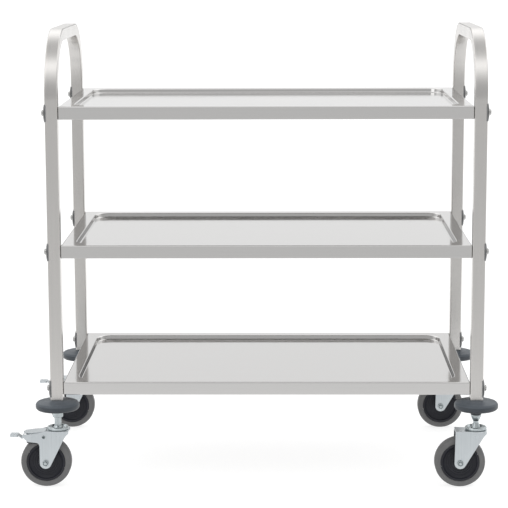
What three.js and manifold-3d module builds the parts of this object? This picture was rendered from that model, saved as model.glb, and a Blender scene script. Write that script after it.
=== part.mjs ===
// Three-tier food service trolley: two bent square-tube end frames, three pressed steel trays
// bolted between them, and four stem casters under round bumpers. The two left casters have
// foot brakes. Millimetres, +Z up, +Y to the rear; the origin is on the floor, under the centre
// of the box around the whole trolley, brake pedals included.
import * as THREE from 'three';
import { mergeVertices } from 'three/addons/utils/BufferGeometryUtils.js';
import Module from 'manifold-3d';

// ---- driving dimensions ----
const OVERALL_HEIGHT = 900;
const FRAME_LENGTH = 852; // outside to outside of the legs, along X
const FRAME_DEPTH = 489; // outside to outside of the legs, along Y
const TUBE = 25;
const TUBE_WALL = 1.2;
const TUBE_CORNER = 2;
const BEND_RADIUS = 135; // outer radius of the handle bends
const LEG_FOOT = 176; // height of the open lower end of each leg
const TRAY_HEIGHTS = { bottom: 186, middle: 458.5, top: 729.5 }; // lower edges of the tray flanges
const TRAY_FLANGE = 25.5;
const TRAY_RIM = 25;
const TRAY_RECESS = 8.5;
const TRAY_CORNER = 34;
const TRAY_INSET = 6.25; // tray front behind the front faces of the legs
const SHEET = 1.2;
const WHEEL_RADIUS = 50;
const TYRE_WIDTH = 25;
const BUMPER_RADIUS = 43.25;
const BRAKE_TRAIL = 24; // axle behind the swivel axis on a braked caster
const PLAIN_TRAIL = 31;
const PEDAL_REACH = 95; // swivel axis to the pedal's tip
const PEDAL_TRAVEL = THREE.MathUtils.degToRad(7);
const GAP = 0.3; // left between pieces that touch
const SIDES_OF = { pin: 8, stem: 12, hub: 16, bumper: 20, tyre: 32 }; // sides of each round piece

// ---- derived positions ----
const LEG_X = (FRAME_LENGTH - TUBE) / 2;
const LEG_Y = (FRAME_DEPTH - TUBE) / 2;
const TRAY_HALF_LENGTH = FRAME_LENGTH / 2 - TUBE - GAP;
const TRAY_HALF_DEPTH = FRAME_DEPTH / 2 - TRAY_INSET;
const CENTRE_X = (PEDAL_REACH - BUMPER_RADIUS) / 2; // centre of the trays from the origin

const SIDES = { left: -1, right: 1 };
const ENDS = { front: -1, rear: 1 };

// ---- materials ----
const metal = (color, roughness) => new THREE.MeshStandardMaterial({ color, roughness, metalness: 1 });
const plastic = (color, roughness) => new THREE.MeshStandardMaterial({ color, roughness, metalness: 0 });
const satinSteel = metal(0xc4c2be, 0.35);
const polishedSteel = metal(0xdededf, 0.15);
const zincPlate = metal(0xccd6da, 0.4);
const boltSteel = metal(0xa8a8a6, 0.3);
const bumperRubber = plastic(0x4a525a, 0.6);
const tyreRubber = plastic(0x6c6d6d, 0.7);
const hubPlastic = plastic(0x26282d, 0.5);
const brakeRubber = plastic(0x1c1d20, 0.7);

// ---- solids ----
const wasm = await Module();
wasm.setup();

function solidOf(geometry) {
  const bare = geometry.clone();
  bare.deleteAttribute('normal');
  bare.deleteAttribute('uv');
  const merged = mergeVertices(bare, 1e-4);
  return new wasm.Manifold(new wasm.Mesh({
    numProp: 3,
    vertProperties: merged.attributes.position.array,
    triVerts: new Uint32Array(merged.index.array),
  }));
}

function geometryOf(solid) {
  const mesh = solid.getMesh();
  const geometry = new THREE.BufferGeometry();
  geometry.setAttribute('position', new THREE.BufferAttribute(new Float32Array(mesh.vertProperties), 3));
  geometry.setIndex(new THREE.BufferAttribute(new Uint32Array(mesh.triVerts), 1));
  const flat = geometry.toNonIndexed();
  flat.computeVertexNormals();
  return flat;
}

const join = (geometries) => geometries.map(solidOf).reduce((whole, next) => whole.add(next));
const cut = (solid, geometries) => geometries.map(solidOf).reduce((whole, next) => whole.subtract(next), solid);

function block(x0, x1, y0, y1, z0, z1) {
  const box = new THREE.BoxGeometry(x1 - x0, y1 - y0, z1 - z0);
  return box.translate((x0 + x1) / 2, (y0 + y1) / 2, (z0 + z1) / 2);
}

// A profile of [radius, height] points, counter-clockwise, turned about Z, Y or X.
function turned(profile, segments) {
  return new THREE.LatheGeometry(profile.map(([r, h]) => new THREE.Vector2(r, h)), segments);
}
const turnedAboutZ = (profile, segments) => turned(profile, segments).rotateX(Math.PI / 2);
const turnedAboutY = (profile, segments) => turned(profile, segments);
const turnedAboutX = (profile, segments) => turned(profile, segments).rotateZ(-Math.PI / 2);

// An outline in the X-Z plane, extruded along Y from y0 to y1.
function sidePlate(shape, y0, y1, curveSegments = 5) {
  const plate = new THREE.ExtrudeGeometry(shape, { depth: y1 - y0, bevelEnabled: false, curveSegments });
  return plate.rotateX(Math.PI / 2).translate(0, y1, 0);
}

// An outline in the X-Y plane, extruded along Z from z0 to z1.
function slab(shape, z0, z1, curveSegments = 6) {
  const plate = new THREE.ExtrudeGeometry(shape, { depth: z1 - z0, bevelEnabled: false, curveSegments });
  return plate.translate(0, 0, z0);
}

const pinAlongX = (x0, x1, radius, segments) =>
  turnedAboutX([[0, x0], [radius, x0], [radius, x1], [0, x1]], segments);
const pinAlongY = (y0, y1, radius, segments) =>
  turnedAboutY([[0, y0], [radius, y0], [radius, y1], [0, y1]], segments);

function polygon(points) {
  return new THREE.Shape(points.map(([x, y]) => new THREE.Vector2(x, y)));
}

function roundedRectangle(halfX, halfY, radius) {
  const shape = new THREE.Shape();
  shape.absarc(halfX - radius, halfY - radius, radius, 0, Math.PI / 2);
  shape.absarc(radius - halfX, halfY - radius, radius, Math.PI / 2, Math.PI);
  shape.absarc(radius - halfX, radius - halfY, radius, Math.PI, 1.5 * Math.PI);
  shape.absarc(halfX - radius, radius - halfY, radius, 1.5 * Math.PI, 2 * Math.PI);
  return shape;
}

// ---- end frame: one square tube bent into an inverted U in the Y-Z plane ----
const FRAME_SEGMENTS = 9;

function archShape(inset, foot) {
  const half = FRAME_DEPTH / 2 - inset;
  const top = OVERALL_HEIGHT - inset;
  const outer = BEND_RADIUS - inset;
  const tube = TUBE - 2 * inset;
  const bendY = half - outer;
  const bendZ = top - outer;
  const shape = new THREE.Shape();
  shape.moveTo(-half, foot);
  shape.lineTo(-half, bendZ);
  shape.absarc(-bendY, bendZ, outer, Math.PI, Math.PI / 2, true);
  shape.absarc(bendY, bendZ, outer, Math.PI / 2, 0, true);
  shape.lineTo(half, foot);
  shape.lineTo(half - tube, foot);
  shape.absarc(bendY, bendZ, outer - tube, 0, Math.PI / 2, false);
  shape.absarc(-bendY, bendZ, outer - tube, Math.PI / 2, Math.PI, false);
  shape.lineTo(tube - half, foot);
  return shape;
}

const yzPlaneAlongX = new THREE.Matrix4().makeBasis(
  new THREE.Vector3(0, 1, 0), new THREE.Vector3(0, 0, 1), new THREE.Vector3(1, 0, 0));

function archBar(inset, foot, corner) {
  const width = TUBE - 2 * inset;
  const bar = new THREE.ExtrudeGeometry(archShape(inset, foot), {
    depth: width - 2 * corner,
    curveSegments: FRAME_SEGMENTS,
    bevelEnabled: corner > 0,
    bevelThickness: corner,
    bevelSize: corner,
    bevelOffset: -corner,
    bevelSegments: 1,
  });
  return bar.translate(0, 0, corner - width / 2).applyMatrix4(yzPlaneAlongX);
}

function endFrame() {
  const overrun = 10;
  const tube = cut(solidOf(archBar(0, LEG_FOOT - overrun, TUBE_CORNER)), [
    archBar(TUBE_WALL, LEG_FOOT - 2 * overrun, 0),
    block(-TUBE, TUBE, -FRAME_DEPTH, FRAME_DEPTH, LEG_FOOT - 2 * overrun, LEG_FOOT),
  ]);
  const holes = Object.values(TRAY_HEIGHTS).flatMap((z) => Object.values(ENDS).map((end) =>
    pinAlongX(-TUBE, TUBE, BOLT.shank + GAP, BOLT.segments).translate(0, end * LEG_Y, z + BOLT.level)));
  return geometryOf(cut(tube, holes));
}

// ---- tray: pressed sheet with a hanging flange, a flat rim and a recess ----
function tray() {
  const x = TRAY_HALF_LENGTH;
  const y = TRAY_HALF_DEPTH;
  const panX = x - TRAY_RIM;
  const panY = y - TRAY_RIM;
  const recess = roundedRectangle(panX, panY, TRAY_CORNER);
  const pan = roundedRectangle(panX + SHEET, panY + SHEET, TRAY_CORNER + SHEET);
  const base = TRAY_FLANGE - TRAY_RECESS;
  const hollow = cut(
    solidOf(block(SHEET - x, x - SHEET, SHEET - y, y - SHEET, -1, TRAY_FLANGE - SHEET)),
    [slab(pan, base - SHEET, TRAY_FLANGE, 5)]);
  const pressed = solidOf(block(-x, x, -y, y, 0, TRAY_FLANGE)).subtract(hollow);
  const holes = Object.values(SIDES).flatMap((side) => Object.values(ENDS).map((end) =>
    pinAlongX(-2 * SHEET, 2 * SHEET, BOLT.shank + GAP, BOLT.segments)
      .translate(side * x, end * LEG_Y, BOLT.level)));
  return geometryOf(cut(pressed, [slab(recess, base, TRAY_FLANGE + 1, 5), ...holes]));
}

// ---- tray bolt and saddle washer, modelled on the right-hand leg with X outwards ----
const BOLT = {
  shank: 3, head: 6, headTop: 4.5, headHeight: 3.8, nut: 4.4, nutLength: 7,
  level: TRAY_FLANGE / 2, segments: SIDES_OF.pin,
};
const SADDLE = { halfHeight: 17.5, halfWidth: 14.2, skirt: 4, pad: 1.2, dish: 2.3, dishTop: 7 };

function trayBolt() {
  const washerFace = TUBE / 2 + GAP + SADDLE.pad + SADDLE.dish;
  const underHead = washerFace + GAP;
  const headTop = underHead + BOLT.headHeight;
  const nutFace = -TUBE / 2 - GAP - SHEET - GAP;
  const profile = [
    [0, nutFace - BOLT.nutLength], [BOLT.nut, nutFace - BOLT.nutLength], [BOLT.nut, nutFace],
    [BOLT.shank, nutFace], [BOLT.shank, underHead], [BOLT.head, underHead],
    [BOLT.headTop, headTop - 1], [0, headTop],
  ];
  return turnedAboutX(profile, BOLT.segments);
}

function saddleWasher() {
  const legFace = TUBE / 2 + GAP;
  const padFace = legFace + SADDLE.pad;
  const sunk = 0.5;
  const dish = [
    [0, padFace - sunk], [SADDLE.halfHeight, padFace - sunk], [SADDLE.halfHeight, padFace],
    [SADDLE.dishTop, padFace + SADDLE.dish], [0, padFace + SADDLE.dish],
  ];
  const { halfWidth, halfHeight, skirt } = SADDLE;
  const body = join([
    block(TUBE / 2 - skirt, padFace, -halfWidth, halfWidth, -halfHeight, halfHeight),
    turnedAboutX(dish, SIDES_OF.stem),
  ]);
  const groove = TUBE / 2 + GAP;
  return geometryOf(cut(body, [
    block(-TUBE, legFace, -groove, groove, -TUBE, TUBE),
    pinAlongX(0, TUBE, BOLT.shank + GAP, BOLT.segments),
  ]));
}

// ---- caster: heights from the floor, X from the swivel axis, the wheel trailing towards -X ----
const FORK = { top: 114.5, plate: 2.8, inner: 16, side: 2.5, headRadius: 22, boss: 11.5, rake: 1.5 };
const BUMPER = {
  bottom: 156, top: LEG_FOOT - GAP, underRadius: 39.5, edgeLow: 159.5, edgeHigh: 167,
  shoulderRadius: 40, shoulder: 171.2, topRadius: 17,
};
const RIVET = { radius: 9.5, height: 3 };
const RACE = {
  neck: 19, neckTop: 116, radius: 21.5, low: 116.8, edge: 118.6, rimRadius: 20.3, rim: 121.3, rimInner: 17.5,
  well: 118, wellOuter: 15.5,
};
const PLUG = { radius: 10.9, top: 188.5 };
const KINGPIN_RADIUS = 6; // the stem where it passes through the fork's head
const CONE_RADIUS = 9.5; // foot of the cone between the race and the stem's neck
// The braked casters have a plain round collar under the bumper. The others have a tapered one
// below a boss that is moulded onto the bumper. Each collar is [radius, height] from its foot up.
const STEMS = {
  braked: { neck: 6.8, coneTop: 123.5, collar: [[10.4, 140.2], [10.4, BUMPER.bottom - GAP]] },
  plain: { neck: 5.3, coneTop: 129, collar: [[5.9, 132.5], [10.4, 142], [10.2, 145.5]] },
};
const BOSS = { topRadius: 13.5, lowRadius: 10.8, bottom: 145.5 + GAP };
const AXLE = { radius: 4, head: 6.25, headHeight: 4.5 };
const HUB = {
  radius: 38, half: 11, rimInner: 31, webOuter: 29, webHalf: 6, webInner: 15, boss: 11, bossHalf: FORK.inner - GAP,
};
const PEDAL = {
  pivotX: -27, pivotZ: 102.5, pin: 2, pinHead: 3.6, pinHeadHeight: 1.5, lugIn: 13.3, lugOut: 15.6,
  sheet: 2, treadSheet: 4.5, treadHalf: 10, neckHalf: 8,
};
// The lever seen from the front: the upper side of its roof, neck and tread, and its side wall.
const ROOF = { right: [-23.5, 113.4], left: [-66, 110.4], lip: [-69.5, 104] };
const NECK = [[-68, 105.5], [-70.5, 98.2], [-80, 105.5], [-83, 105.5]];
const TREAD = [[-79, 105.5], [-PEDAL_REACH, 105.5]];
// Seen from above, the roof narrows from this half width at one X to the next at the other.
const TIP = [[-50, PEDAL.lugOut + GAP], [-72, 8.5]];
const SIDE_WALL = [
  [-23.5, 112.9], [-23.5, 99.5], [-27, 97.6], [-34, 97.6], [-60, 96.6], [-70.5, 96.6], [-71, 99], [-66, 109.9],
];
const SHOE = { left: -61, right: -44, clearance: 0.5, cheekIn: 12.8, cheekOut: 15.3 };
const CHEEK = [[SHOE.left, 96.2], [SHOE.left, 90.4], [-37.5, 87.5], [-37.5, 96.2]];

function bumper(neck, boss) {
  const bore = neck + GAP;
  const under = boss
    ? [[bore, boss.bottom], [boss.lowRadius, boss.bottom], [boss.topRadius, BUMPER.bottom]]
    : [[bore, BUMPER.bottom]];
  return turnedAboutZ([
    ...under, [BUMPER.underRadius, BUMPER.bottom], [BUMPER_RADIUS, BUMPER.edgeLow],
    [BUMPER_RADIUS, BUMPER.edgeHigh], [BUMPER.shoulderRadius, BUMPER.shoulder],
    [BUMPER.topRadius, BUMPER.top], [bore, BUMPER.top], under[0],
  ], SIDES_OF.bumper);
}

function casterStem({ neck, coneTop, collar }) {
  const raceBottom = FORK.top + GAP;
  const rivetTop = FORK.top - FORK.plate - GAP;
  const plugBottom = LEG_FOOT + GAP;
  const collarFoot = collar[0][1];
  const collarTop = collar[collar.length - 1][1];
  return turnedAboutZ([
    [0, rivetTop - RIVET.height], [RIVET.radius, rivetTop - RIVET.height], [RIVET.radius, rivetTop],
    [KINGPIN_RADIUS, rivetTop], [KINGPIN_RADIUS, raceBottom], [RACE.neck, raceBottom],
    [RACE.neck, RACE.neckTop], [RACE.radius, RACE.low], [RACE.radius, RACE.edge],
    [RACE.rimRadius, RACE.rim], [RACE.rimInner, RACE.rim], [RACE.wellOuter, RACE.well],
    [CONE_RADIUS, RACE.well], [neck, coneTop], [neck, collarFoot],
    ...collar, [neck, collarTop], [neck, plugBottom],
    [PLUG.radius, plugBottom], [PLUG.radius, PLUG.top], [0, PLUG.top],
  ], SIDES_OF.stem);
}

// The sides of the two forks, seen from the front. Each flares from the boss round the axle up
// to the head. The braked fork also has an ear that reaches back beside the lever.
const FLARE = {
  plain: { bossEnd: 1.85 * Math.PI, low: [11, 98], control: [15, 105], high: [20, 109.5] },
  braked: { bossEnd: 1.87 * Math.PI, low: [9.5, 91.5], control: [14, 104], high: [22, 109.5] },
};
const EAR = [[-38, 110.8], [-69.5, 106.8], [-70.3, 104.5], [-59, 93.2], [-41, 91]];
const EAR_FILLET = { top: 90, bottom: 82 }; // heights of the curve from the ear into the shank

function flare(shape, trail, { bossEnd, low, control, high }) {
  shape.lineTo(-trail - FORK.boss, WHEEL_RADIUS);
  shape.absarc(-trail, WHEEL_RADIUS, FORK.boss, Math.PI, bossEnd, false);
  shape.lineTo(...low);
  shape.quadraticCurveTo(...control, ...high);
  shape.lineTo(high[0], FORK.top);
}

function plainForkSide() {
  const shape = new THREE.Shape();
  shape.moveTo(-PLAIN_TRAIL - FORK.boss + FORK.rake, FORK.top);
  flare(shape, PLAIN_TRAIL, FLARE.plain);
  return shape;
}

function brakeForkSide() {
  const shank = -BRAKE_TRAIL - FORK.boss;
  const shape = new THREE.Shape();
  shape.moveTo(...EAR[0]);
  EAR.slice(1).forEach(([x, z]) => shape.lineTo(x, z));
  shape.quadraticCurveTo(shank, EAR_FILLET.top, shank, EAR_FILLET.bottom);
  flare(shape, BRAKE_TRAIL, FLARE.braked);
  shape.lineTo(-BRAKE_TRAIL, FORK.top);
  return shape;
}

function forkHead(rearX) {
  const half = FORK.inner + FORK.side;
  const lean = Math.asin(half / FORK.headRadius);
  const shape = new THREE.Shape();
  shape.absarc(0, 0, FORK.headRadius, lean - Math.PI, Math.PI - lean, false);
  shape.lineTo(rearX, half);
  shape.lineTo(rearX, -half);
  return slab(shape, FORK.top - FORK.plate, FORK.top, 12);
}

function fork(side, rearX, trail, crossHoles) {
  const outer = FORK.inner + FORK.side;
  const body = join([
    sidePlate(side, FORK.inner, outer),
    sidePlate(side, -outer, -FORK.inner),
    forkHead(rearX),
  ]);
  const drilled = [[-trail, WHEEL_RADIUS, AXLE.radius], ...crossHoles].map(([x, z, radius]) =>
    pinAlongY(-2 * outer, 2 * outer, radius + GAP, SIDES_OF.pin).translate(x, 0, z));
  const bore = KINGPIN_RADIUS + GAP;
  const kingpin = turnedAboutZ([[0, 0], [bore, 0], [bore, LEG_FOOT], [0, LEG_FOOT]], SIDES_OF.stem);
  return geometryOf(cut(body, [...drilled, kingpin]));
}

const plainFork = () => fork(plainForkSide(), -PLAIN_TRAIL - FORK.boss + FORK.rake, PLAIN_TRAIL, []);
const brakeFork = () =>
  fork(brakeForkSide(), ROOF.right[0] + 2, BRAKE_TRAIL, [[PEDAL.pivotX, PEDAL.pivotZ, PEDAL.pin]]);

function axleBolt() {
  const face = FORK.inner + FORK.side + GAP;
  const headTop = face + AXLE.headHeight;
  return turnedAboutY([
    [0, -headTop], [AXLE.head - 1, -headTop], [AXLE.head, 1 - headTop], [AXLE.head, -face],
    [AXLE.radius, -face], [AXLE.radius, face], [AXLE.head, face], [AXLE.head, headTop - 1],
    [AXLE.head - 1, headTop], [0, headTop],
  ], SIDES_OF.pin);
}

function wheelHub() {
  const bore = AXLE.radius + GAP;
  const half = [
    [HUB.radius, HUB.half], [HUB.rimInner, HUB.half], [HUB.webOuter, HUB.webHalf], [HUB.webInner, HUB.webHalf],
    [HUB.boss, HUB.bossHalf], [bore, HUB.bossHalf],
  ];
  const mirrored = half.map(([r, y]) => [r, -y]).reverse();
  return turnedAboutY([...mirrored, ...half, mirrored[0]], SIDES_OF.hub);
}

// The ring has a flat under the axle, so its corners stand a little outside the wheel's radius.
function tyre() {
  const segments = SIDES_OF.tyre;
  const chamfer = 4;
  const outer = WHEEL_RADIUS / Math.cos(Math.PI / segments);
  const inner = HUB.radius + GAP;
  const half = TYRE_WIDTH / 2;
  const bore = inner / Math.cos(Math.PI / segments);
  return turnedAboutY([
    [bore, -half + 1], [outer - chamfer, -half], [outer, -half + chamfer],
    [outer, half - chamfer], [outer - chamfer, half], [bore, half - 1], [bore, -half + 1],
  ], segments).rotateY(Math.PI / segments);
}

// ---- brake: a pressed channel between the fork's ears, its tread, and the shoe under it ----
function leverSheet(points, halfWidth, thickness = PEDAL.sheet) {
  const lower = points.map(([x, z]) => [x, z - thickness]).reverse();
  return sidePlate(polygon([...points, ...lower]), -halfWidth, halfWidth);
}

function brakePedal() {
  const wall = polygon(SIDE_WALL);
  const body = join([
    leverSheet([ROOF.right, ROOF.left, ROOF.lip], PEDAL.lugOut),
    leverSheet(NECK, PEDAL.neckHalf),
    leverSheet(TREAD, PEDAL.treadHalf, PEDAL.treadSheet),
    sidePlate(wall, PEDAL.lugIn, PEDAL.lugOut),
    sidePlate(wall, -PEDAL.lugOut, -PEDAL.lugIn),
  ]);
  const pivot = pinAlongY(-TUBE, TUBE, PEDAL.pin + GAP, SIDES_OF.pin).translate(PEDAL.pivotX, 0, PEDAL.pivotZ);
  const besideTip = [-1, 1].map((end) => slab(
    polygon([...TIP, [TIP[1][0], TUBE], [TIP[0][0], TUBE]].map(([x, y]) => [x, end * y])), WHEEL_RADIUS, FORK.top));
  return geometryOf(cut(body, [pivot, ...besideTip]));
}

function brakePin() {
  const face = FORK.inner + FORK.side + GAP;
  const end = face + PEDAL.pinHeadHeight;
  const { pin, pinHead } = PEDAL;
  return turnedAboutY([
    [0, -end], [pinHead, -end], [pinHead, -face], [pin, -face],
    [pin, face], [pinHead, face], [pinHead, end], [0, end],
  ], SIDES_OF.pin).translate(PEDAL.pivotX, 0, PEDAL.pivotZ);
}

// The shoe's face is round the axle once the pedal is down, so at rest its centre is turned back.
// Its two cheeks hang beside the tyre, below the lever's side walls.
function brakeShoe() {
  const radius = WHEEL_RADIUS + SHOE.clearance;
  const pivot = new THREE.Vector2(PEDAL.pivotX, PEDAL.pivotZ);
  const centre = new THREE.Vector2(-BRAKE_TRAIL, WHEEL_RADIUS).rotateAround(pivot, -PEDAL_TRAVEL);
  const onFace = (x) => Math.acos((x - centre.x) / radius);
  const slope = (ROOF.right[1] - ROOF.left[1]) / (ROOF.right[0] - ROOF.left[0]);
  const underRoof = (x) => ROOF.right[1] + (x - ROOF.right[0]) * slope - PEDAL.sheet - GAP;
  const shape = new THREE.Shape();
  shape.moveTo(SHOE.left, underRoof(SHOE.left));
  shape.absarc(centre.x, centre.y, radius, onFace(SHOE.left), onFace(SHOE.right), true);
  shape.lineTo(SHOE.right, underRoof(SHOE.right));
  const half = PEDAL.lugIn - GAP;
  const cheek = polygon(CHEEK);
  return geometryOf(join([
    sidePlate(shape, -half, half),
    sidePlate(cheek, SHOE.cheekIn, SHOE.cheekOut),
    sidePlate(cheek, -SHOE.cheekOut, -SHOE.cheekIn),
  ]));
}

// ---- assembly ----
const trolley = new THREE.Group();
trolley.position.x = CENTRE_X;

function place(parent, name, geometry, material) {
  const mesh = new THREE.Mesh(geometry, material);
  mesh.name = name;
  parent.add(mesh);
  return mesh;
}

function addFramesAndTrays() {
  const frameShape = endFrame();
  for (const [sideName, side] of Object.entries(SIDES)) {
    place(trolley, `end_frame_${sideName}`, frameShape, satinSteel).position.x = side * LEG_X;
  }
  const trayShape = tray();
  for (const [level, z] of Object.entries(TRAY_HEIGHTS)) {
    place(trolley, `tray_${level}`, trayShape, polishedSteel).position.z = z;
  }
}

function addTrayFastenings(endName, end, sideName, side) {
  for (const [level, z] of Object.entries(TRAY_HEIGHTS)) {
    const joint = new THREE.Group();
    joint.position.set(side * LEG_X, end * LEG_Y, z + BOLT.level);
    joint.rotation.z = side > 0 ? 0 : Math.PI;
    trolley.add(joint);
    place(joint, `bolt_${endName}_${sideName}_${level}`, boltShape, boltSteel);
    place(joint, `saddle_washer_${endName}_${sideName}_${level}`, washerShape, boltSteel);
  }
}

function addCaster(corner, x, y, braked) {
  const shapes = braked ? brakedShapes : plainShapes;
  const caster = new THREE.Group();
  caster.position.set(x, y, 0);
  trolley.add(caster);
  const trail = braked ? BRAKE_TRAIL : PLAIN_TRAIL;
  place(caster, `bumper_${corner}`, shapes.bumper, bumperRubber);
  place(caster, `caster_stem_${corner}`, shapes.stem, zincPlate);
  place(caster, `fork_${corner}`, shapes.fork, zincPlate);
  place(caster, `axle_bolt_${corner}`, axleShape, zincPlate).position.set(-trail, 0, WHEEL_RADIUS);
  place(caster, `wheel_hub_${corner}`, hubShape, hubPlastic).position.set(-trail, 0, WHEEL_RADIUS);
  place(caster, `tyre_${corner}`, tyreShape, tyreRubber).position.set(-trail, 0, WHEEL_RADIUS);
  if (braked) {
    place(caster, `brake_pedal_${corner}`, pedalShape, zincPlate);
    place(caster, `brake_shoe_${corner}`, shoeShape, brakeRubber);
    place(caster, `brake_pin_${corner}`, pinShape, zincPlate);
  }
}

const boltShape = trayBolt();
const washerShape = saddleWasher();
const brakedShapes = { bumper: bumper(STEMS.braked.neck, null), stem: casterStem(STEMS.braked), fork: brakeFork() };
const plainShapes = { bumper: bumper(STEMS.plain.neck, BOSS), stem: casterStem(STEMS.plain), fork: plainFork() };
const axleShape = axleBolt();
const hubShape = wheelHub();
const tyreShape = tyre();
const pedalShape = brakePedal();
const shoeShape = brakeShoe();
const pinShape = brakePin();

addFramesAndTrays();
for (const [sideName, side] of Object.entries(SIDES)) {
  for (const [endName, end] of Object.entries(ENDS)) {
    addTrayFastenings(endName, end, sideName, side);
    addCaster(`${endName}_${sideName}`, side * LEG_X, end * LEG_Y, sideName === 'left');
  }
}

export default trolley;
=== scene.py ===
import math

import bmesh
import bpy
from mathutils import Matrix, Vector


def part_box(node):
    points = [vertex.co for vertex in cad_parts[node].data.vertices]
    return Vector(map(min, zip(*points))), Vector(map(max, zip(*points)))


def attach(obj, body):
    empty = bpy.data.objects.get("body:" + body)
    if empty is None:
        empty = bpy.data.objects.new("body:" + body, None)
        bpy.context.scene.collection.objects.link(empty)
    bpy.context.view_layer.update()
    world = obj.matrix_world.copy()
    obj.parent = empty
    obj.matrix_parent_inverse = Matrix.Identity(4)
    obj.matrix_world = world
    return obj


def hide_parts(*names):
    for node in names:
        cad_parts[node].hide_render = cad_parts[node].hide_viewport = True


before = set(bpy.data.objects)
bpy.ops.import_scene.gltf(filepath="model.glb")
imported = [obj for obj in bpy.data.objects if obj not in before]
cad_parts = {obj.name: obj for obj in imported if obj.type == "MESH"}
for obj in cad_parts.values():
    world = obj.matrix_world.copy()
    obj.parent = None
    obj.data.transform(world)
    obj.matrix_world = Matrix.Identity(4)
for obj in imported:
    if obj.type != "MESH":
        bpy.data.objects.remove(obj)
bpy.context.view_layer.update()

MM = 0.001
SIDES = {"left": -1, "right": 1}
ENDS = {"front": -1, "rear": 1}
LEVELS = ("bottom", "middle", "top")
BRAKED = "left"

# ---- sizes of the finer shapes, in millimetres ----
GAP = 0.3
TUBE = 25
TUBE_WALL = 1.2
TUBE_CORNER = 2.4
BEND_RADIUS = 135
SHEET = 1.2
TRAY_HEIGHT = 25.5
TRAY_RECESS = 8.5
TRAY_RIM = 25
TRAY_CORNER = 34
BOLT_RADIUS = 3
WHEEL_RADIUS = 50
AXLE_RADIUS = 4
KINGPIN_RADIUS = 6
FORK_TOP = 114.5
FORK_PLATE = 2.8
FORK_INNER = 16
FORK_OUTER = 18.5
FORK_HEAD = 22
FORK_BOSS = 11.5
HUB_RADIUS = 38
BRAKE_TRAIL = 24
PLAIN_TRAIL = 31
PEDAL_REACH = 95
PEDAL_PIVOT = (-27, 102.5)
PEDAL_TRAVEL = math.radians(7)
BUMPER_BOTTOM = 156
LEG_FOOT = 176
PLUG_TOP = 188.5


# ---- mesh helpers ----
def centre_of(node):
    low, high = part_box(node)
    return (Vector(low) + Vector(high)) / 2


def rounded(points, steps=4, closed=False):
    """An outline whose corners are arcs: a point is (a, b) or (a, b, corner radius)."""
    outline = []
    count = len(points)
    for i, point in enumerate(points):
        here = Vector(point[:2])
        at_end = not closed and i in (0, count - 1)
        if len(point) < 3 or at_end:
            outline.append(tuple(here))
            continue
        before = Vector(points[i - 1][:2]) - here
        after = Vector(points[(i + 1) % count][:2]) - here
        half = before.angle(after) / 2
        reach = min(point[2] / math.tan(half), 0.49 * before.length, 0.49 * after.length)
        start = here + before.normalized() * reach
        end = here + after.normalized() * reach
        inward = (before.normalized() + after.normalized()).normalized()
        centre = here + inward * (reach / math.cos(half))
        spoke, last = start - centre, end - centre
        turn = math.atan2(spoke.cross(last), spoke.dot(last))
        for k in range(steps + 1):
            outline.append(tuple(centre + Matrix.Rotation(turn * k / steps, 2) @ spoke))
    return outline


def arc(centre, radius, start, end, steps):
    """Points round a centre, with the angles in degrees."""
    angles = [math.radians(start + (end - start) * k / steps) for k in range(steps + 1)]
    return [(centre[0] + radius * math.cos(a), centre[1] + radius * math.sin(a)) for a in angles]


def curve(start, control, end, steps=8):
    """Points along a quadratic curve, without its first one."""
    points = []
    for k in range(1, steps + 1):
        t = k / steps
        points.append(tuple(
            (1 - t) ** 2 * a + 2 * t * (1 - t) * c + t ** 2 * b
            for a, c, b in zip(start, control, end)))
    return points


def make_mesh(name, points, faces, uvs=None):
    """A mesh in metres from points in millimetres, with its faces turned outwards."""
    shape = bmesh.new()
    verts = [shape.verts.new(Vector(p) * MM) for p in points]
    layer = shape.loops.layers.uv.new("grain") if uvs else None
    for i, face in enumerate(faces):
        made = shape.faces.new([verts[k] for k in face])
        if uvs:
            for loop, uv in zip(made.loops, uvs[i]):
                loop[layer].uv = uv
    bmesh.ops.recalc_face_normals(shape, faces=shape.faces)
    mesh = bpy.data.meshes.new(name)
    shape.to_mesh(mesh)
    shape.free()
    return mesh


def with_modifiers(mesh, add):
    """A new mesh: the given one after the modifiers that add(object) puts on it."""
    holder = bpy.data.objects.new("holder", mesh)
    bpy.context.collection.objects.link(holder)
    add(holder)
    graph = bpy.context.evaluated_depsgraph_get()
    made = bpy.data.meshes.new_from_object(holder.evaluated_get(graph), depsgraph=graph)
    made.name = mesh.name
    bpy.data.objects.remove(holder)
    return made


def boolean(mesh, others, operation):
    """The mesh united with the others, or with the others cut out of it."""
    tools = []
    for other in others:
        tool = bpy.data.objects.new("tool", other)
        bpy.context.collection.objects.link(tool)
        tools.append(tool)

    def add(holder):
        for tool in tools:
            step = holder.modifiers.new("cut", "BOOLEAN")
            step.operation = operation
            step.solver = "EXACT"
            step.object = tool

    made = with_modifiers(mesh, add)
    for tool in tools:
        bpy.data.objects.remove(tool)
    return made


def join(mesh, *others):
    return boolean(mesh, others, "UNION")


def cut(mesh, *others):
    return boolean(mesh, others, "DIFFERENCE")


def shaded(mesh, bevel=0.0, segments=3, angle=28):
    """Rounds the sharp edges and sets the shading so that flat faces stay flat."""
    limit = math.radians(angle)
    mesh.polygons.foreach_set("use_smooth", [True] * len(mesh.polygons))
    mesh.set_sharp_from_angle(angle=limit)

    def add(holder):
        if bevel:
            step = holder.modifiers.new("edges", "BEVEL")
            step.width = bevel * MM
            step.segments = segments
            step.limit_method = "ANGLE"
            step.angle_limit = limit
            step.harden_normals = True
        weigh = holder.modifiers.new("normals", "WEIGHTED_NORMAL")
        weigh.keep_sharp = not bevel
        weigh.weight = 100

    return with_modifiers(mesh, add)


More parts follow.
